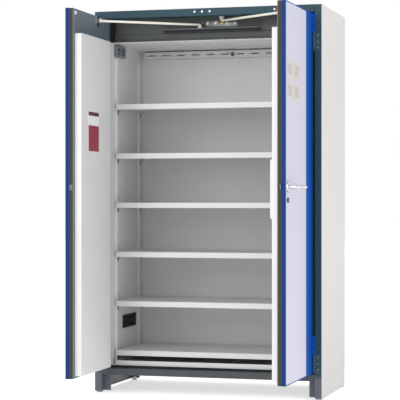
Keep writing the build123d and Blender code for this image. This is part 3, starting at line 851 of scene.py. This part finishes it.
class CABINET_OT_buffers(Operator):
    """Sets the white buffer near the leading edge of each leaf"""

    bl_idname = "cabinet.buffers"
    bl_label = "Buffers"

    def execute(self, context):
        radius = context.scene.cabinet_trim.buffer
        white = moulded_plastic("buffer_plastic", (0.93, 0.93, 0.91), 0.35)
        from_edge, from_top = 0.028, 0.020
        for side in ("left", "right"):
            corner = leaf_span(side, f"{side}_inner_skin")[1]
            place = leaf_place(side)
            spot = place @ (corner - Vector((from_edge, 0, from_top)))
            inward = place.to_3x3() @ Vector((0, 1, 0))
            shape = bmesh.new()
            dome = [(0, 0.006), (radius * 0.6, 0.0055), (radius * 0.92, 0.0035)]
            dome += [(radius, 0.001), (radius, 0)]
            turned(shape, dome, facing(spot, inward))
            piece(f"{side}_buffer", shape, f"{side}_door", white)
        return {"FINISHED"}


class CABINET_OT_valve_meshes(Operator):
    """Lays a dark mesh ring in both ports of the vent valve"""

    bl_idname = "cabinet.valve_meshes"
    bl_label = "Valve Meshes"

    def execute(self, context):
        low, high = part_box("vent_valve")
        inner, outer, thick, sunk = 0.0072, 0.0188, 0.0008, 0.006
        ring = [(inner, 0), (inner, thick), (outer, thick), (outer, 0)]
        shape = bmesh.new()
        for share in (0.27, 0.73):
            y = low.y + (high.y - low.y) * share
            spot = Vector((high.x - sunk, y, (low.z + high.z) / 2))
            turned(shape, ring, facing(spot, (1, 0, 0)), 32)
        dark = moulded_plastic("valve_mesh", (0.10, 0.10, 0.11), 0.6)
        piece("valve_meshes", shape, CABINET, dark)
        return {"FINISHED"}


class CABINET_OT_cover_screws(Operator):
    """Sets the four screws of the lock cover on the right leaf's inside"""

    bl_idname = "cabinet.cover_screws"
    bl_label = "Cover Screws"

    def execute(self, context):
        radius = context.scene.cabinet_trim.hinge_screw
        place = leaf_place("right")
        inward = place.to_3x3() @ Vector((0, 1, 0))
        low, high = leaf_span("right", "lock_cover")
        shape = bmesh.new()
        inset = 0.014
        for along in (low.x + inset, high.x - inset):
            for up in (low.z + inset, high.z - inset):
                screw(shape, facing(place @ Vector((along, high.y, up)), inward), radius)
        steel = drawn_steel("cover_screw_zinc", (0.62, 0.62, 0.63), 0.3)
        piece("lock_cover_screws", shape, "right_door", steel)
        return {"FINISHED"}


class CABINET_OT_keyhole(Operator):
    """Sets the lock cylinder in the lower boss beside the handle"""

    bl_idname = "cabinet.keyhole"
    bl_label = "Keyhole"

    def execute(self, context):
        place = leaf_place("right")
        low, high = leaf_span("right", "handle_rosette")
        outward = place.to_3x3() @ Vector((0, -1, 0))
        radius, boss = (high.x - low.x) / 2, 0.011
        spot = place @ Vector((low.x + radius, low.y, low.z + boss))
        shape = bmesh.new()
        plug, rise = 0.0006, 0.0018
        ring = [(0, plug), (0.0058, plug), (0.0062, rise), (0.0080, rise), (0.0085, 0)]
        turned(shape, ring, facing(spot, outward))
        nickel = drawn_steel("cylinder_nickel", (0.84, 0.82, 0.78), 0.22)
        piece("lock_cylinder", shape, "right_door", nickel)
        cover = bmesh.new()
        spindle = Vector((low.x + radius, low.y, high.z - radius))
        hole, wide, deep, thick, wall = 0.0108, radius + 0.0004, 0.0072, 0.0012, 0.0010
        rim = [(hole, 0), (hole, thick), (wide - 2 * wall, thick), (wide, -thick / 2)]
        rim += [(wide, -deep), (wide - wall, -deep), (wide - wall, 0)]
        turned(cover, rim, facing(place @ spindle, outward), 40)
        satin = drawn_steel("rosette_satin", (0.86, 0.86, 0.87), 0.3)
        piece("rosette_cover", cover, "right_door", satin)
        # Painted shade: a dark slab on the plug stands for the shaded slot of the keyway.
        slit = bmesh.new()
        proud = Matrix.Translation((0, 0, plug + 0.0002))
        slab(slit, (0.0014, 0.0078, 0.0006), facing(spot, outward) @ proud)
        dark = moulded_plastic("keyway_painted_shade", (0.02, 0.02, 0.02), 0.6)
        piece("keyway", slit, "right_door", dark, smooth=False)
        return {"FINISHED"}


def lamp(name, power, size, spot, aim):
    """A square soft lamp that looks at a point."""
    data = bpy.data.lights.new(name, "AREA")
    data.energy = power
    data.size = size
    made = bpy.data.objects.new(name, data)
    made.location = spot
    made.rotation_euler = (Vector(aim) - Vector(spot)).to_track_quat("-Z", "Y").to_euler()
    bpy.context.scene.collection.objects.link(made)


class CABINET_OT_stage(Operator):
    """Lays the floor and sets up the light and the camera"""

    bl_idname = "cabinet.stage"
    bl_label = "Stage"

    def execute(self, context):
        scene = context.scene
        stage = scene.cabinet_stage
        low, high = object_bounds()
        middle = (low + high) / 2
        shape = bmesh.new()
        bmesh.ops.create_grid(shape, x_segments=1, y_segments=1, size=30)
        mesh = bpy.data.meshes.new("floor")
        shape.to_mesh(mesh)
        shape.free()
        floor = bpy.data.objects.new("floor", mesh)
        floor.location.z = low.z
        scene.collection.objects.link(floor)
        mesh.materials.append(pale_floor())
        floor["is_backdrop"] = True

        scene.world = white_room(stage.sky)
        aim = (middle.x, 0.2, middle.z)
        lamp("key_lamp", stage.key, 3.0, (-0.6, -5.3, 3.0), aim)
        lamp("fill_lamp", stage.fill, 2.4, (4.4, -2.6, 1.6), aim)

        lens = bpy.data.cameras.new("camera")
        lens.lens = stage.lens
        lens.sensor_width = 36
        lens.clip_end = 200
        camera = bpy.data.objects.new("camera", lens)
        camera.location = (stage.aside, -stage.distance, stage.eye)
        camera.rotation_euler = (pi / 2, 0, stage.turn)
        scene.collection.objects.link(camera)
        scene.camera = camera
        scene.view_settings.view_transform = "Standard"
        return {"FINISHED"}


def pale_floor():
    """A white floor that looks like the backdrop and keeps the cabinet's shadow."""
    made = Finish("floor_white", 0.9, specular=0.0)
    soft = made.noise(1.4, 2.0)
    made.output(
        Base_Color=made.mix(soft, (0.93, 0.93, 0.93, 1), (0.96, 0.96, 0.96, 1)),
        Emission_Color=(1, 1, 1, 1),
        Emission_Strength=0.6,
    )
    return made.material


def white_room(strength):
    """A world that lights evenly and looks plain white, seen or mirrored."""
    world = bpy.data.worlds.new("studio")
    world.use_nodes = True
    room = Shading(world.node_tree)
    room.tree.nodes.remove(room.tree.nodes["Background"])
    white = (1, 1, 1, 1)
    light = room.node("ShaderNodeBackground", inputs={"Color": white, "Strength": strength})
    backdrop = room.node("ShaderNodeBackground", inputs={"Color": white, "Strength": 1.0})
    seen = room.node("ShaderNodeLightPath", output="Is Camera Ray")
    mirrored = room.node("ShaderNodeLightPath", output="Is Glossy Ray")
    either = room.node("ShaderNodeMath", {"operation": "MAXIMUM"}, {0: seen, 1: mirrored})
    choice = room.node("ShaderNodeMixShader", inputs={0: either, 1: light, 2: backdrop})
    room.feed(room.tree.nodes["World Output"].inputs["Surface"], choice)
    return world


class CABINET_PT_panel(Panel):
    """Lists the cabinet's settings and steps"""

    bl_label = "Battery Cabinet"
    bl_space_type = "VIEW_3D"
    bl_region_type = "UI"
    bl_category = "Cabinet"

    def draw(self, context):
        for step in STEPS:
            self.layout.operator(step.bl_idname)
        for group in ("cabinet_colours", "cabinet_trim", "cabinet_stage"):
            box = self.layout.box()
            settings = getattr(context.scene, group)
            for name in settings.bl_rna.properties.keys():
                if name not in ("rna_type", "name"):
                    box.prop(settings, name)


GROUPS = (CabinetColours, CabinetTrim, CabinetStage)
STEPS = (
    CABINET_OT_coat_body,
    CABINET_OT_coat_inside,
    CABINET_OT_coat_doors,
    CABINET_OT_hinge_screws,
    CABINET_OT_header_screws,
    CABINET_OT_closing_gear,
    CABINET_OT_notice_plates,
    CABINET_OT_buffers,
    CABINET_OT_valve_meshes,
    CABINET_OT_cover_screws,
    CABINET_OT_keyhole,
    CABINET_OT_stage,
)


def register():
    """Registers the settings, the steps and the panel."""
    for made in (*GROUPS, *STEPS, CABINET_PT_panel):
        bpy.utils.register_class(made)
    bpy.types.Scene.cabinet_colours = PointerProperty(type=CabinetColours)
    bpy.types.Scene.cabinet_trim = PointerProperty(type=CabinetTrim)
    bpy.types.Scene.cabinet_stage = PointerProperty(type=CabinetStage)


def unregister():
    """Takes back what register added."""
    del bpy.types.Scene.cabinet_stage
    del bpy.types.Scene.cabinet_trim
    del bpy.types.Scene.cabinet_colours
    for made in (CABINET_PT_panel, *reversed(STEPS), *reversed(GROUPS)):
        bpy.utils.unregister_class(made)


def main():
    """Runs every step in order."""
    register()
    for step in STEPS:
        group, name = step.bl_idname.split(".")
        getattr(getattr(bpy.ops, group), name)()
    bpy.context.view_layer.update()


if __name__ == "__main__":
    main()
